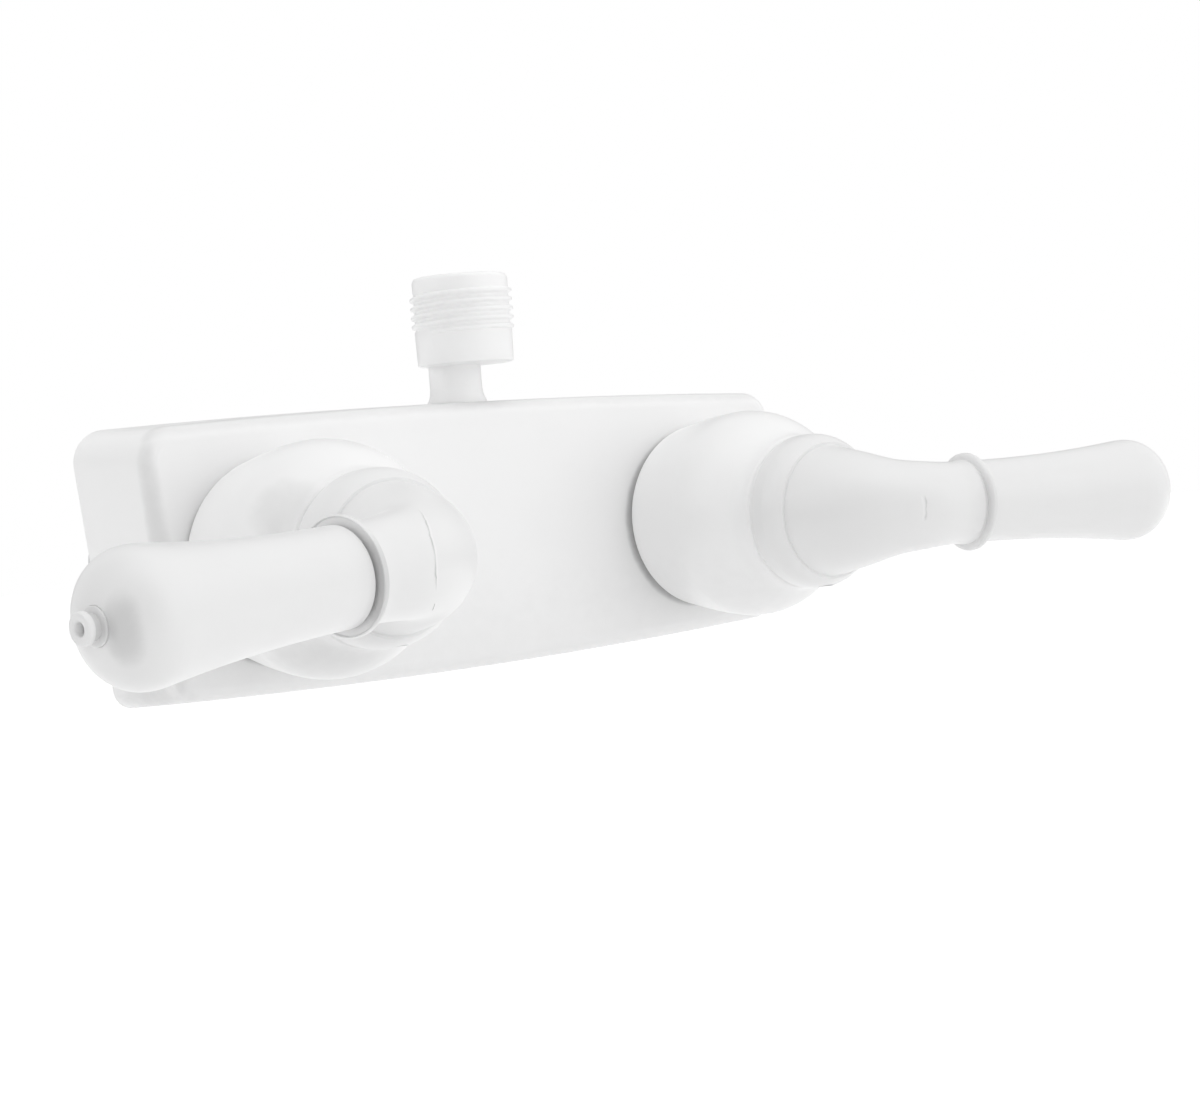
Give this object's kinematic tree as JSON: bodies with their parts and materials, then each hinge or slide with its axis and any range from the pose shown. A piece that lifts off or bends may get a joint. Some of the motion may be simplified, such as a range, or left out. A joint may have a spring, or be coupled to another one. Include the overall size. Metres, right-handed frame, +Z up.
{
  "type": "shower faucet",
  "caption": "Wall-mounted shower faucet with turning lever handles for hot and cold, a bowed shell and a threaded hose outlet on top.",
  "frame": {"origin": "on the wall plane, midway between the axes of the inlet shanks", "axes": "+Z up; -Y out of the wall, towards the user; +X towards the cold side"},
  "size_m": [0.2387, 0.1432, 0.081],
  "materials": {
    "white_plastic": "smooth moulded, semi-gloss",
    "grey_plastic": "as moulded",
    "ceramic": "lapped, satin",
    "brass": "turned",
    "seal_rubber": "satin",
    "screw_steel": "plain"
  },
  "bodies": {
    "faucet": {"waterway_body": "grey_plastic", "body_shell": "white_plastic", "shell_screws": "screw_steel", "outlet_spigot": "white_plastic", "outlet_seal": "seal_rubber", "hot_seat_seal": "seal_rubber", "hot_fixed_disc": "ceramic", "hot_cartridge_sleeve": "grey_plastic", "hot_bonnet_nut": "brass", "hot_bell": "white_plastic", "cold_seat_seal": "seal_rubber", "cold_fixed_disc": "ceramic", "cold_cartridge_sleeve": "grey_plastic", "cold_bonnet_nut": "brass", "cold_bell": "white_plastic"},
    "hot_handle": {"hot_moving_disc": "ceramic", "hot_stem": "brass", "hot_stem_seals": "seal_rubber", "hot_handle_hub": "white_plastic", "hot_lever_ring": "white_plastic", "hot_lever_grip": "white_plastic", "hot_lever_finial": "white_plastic", "hot_set_screw": "screw_steel"},
    "cold_handle": {"cold_moving_disc": "ceramic", "cold_stem": "brass", "cold_stem_seals": "seal_rubber", "cold_handle_hub": "white_plastic", "cold_lever_ring": "white_plastic", "cold_lever_grip": "white_plastic", "cold_lever_finial": "white_plastic", "cold_set_screw": "screw_steel"}
  },
  "joints": [
    {"name": "hot_handle_turn", "type": "hinge", "parent": "faucet", "child": "hot_handle", "pos_m": [-0.0508, -0.0813, 0], "axis": [0, -1, 0], "range_deg": [-2.9, 87.1]},
    {"name": "cold_handle_turn", "type": "hinge", "parent": "faucet", "child": "cold_handle", "pos_m": [0.0508, -0.0813, 0], "axis": [0, 1, 0], "range_deg": [-1.1, 88.9]}
  ]
}
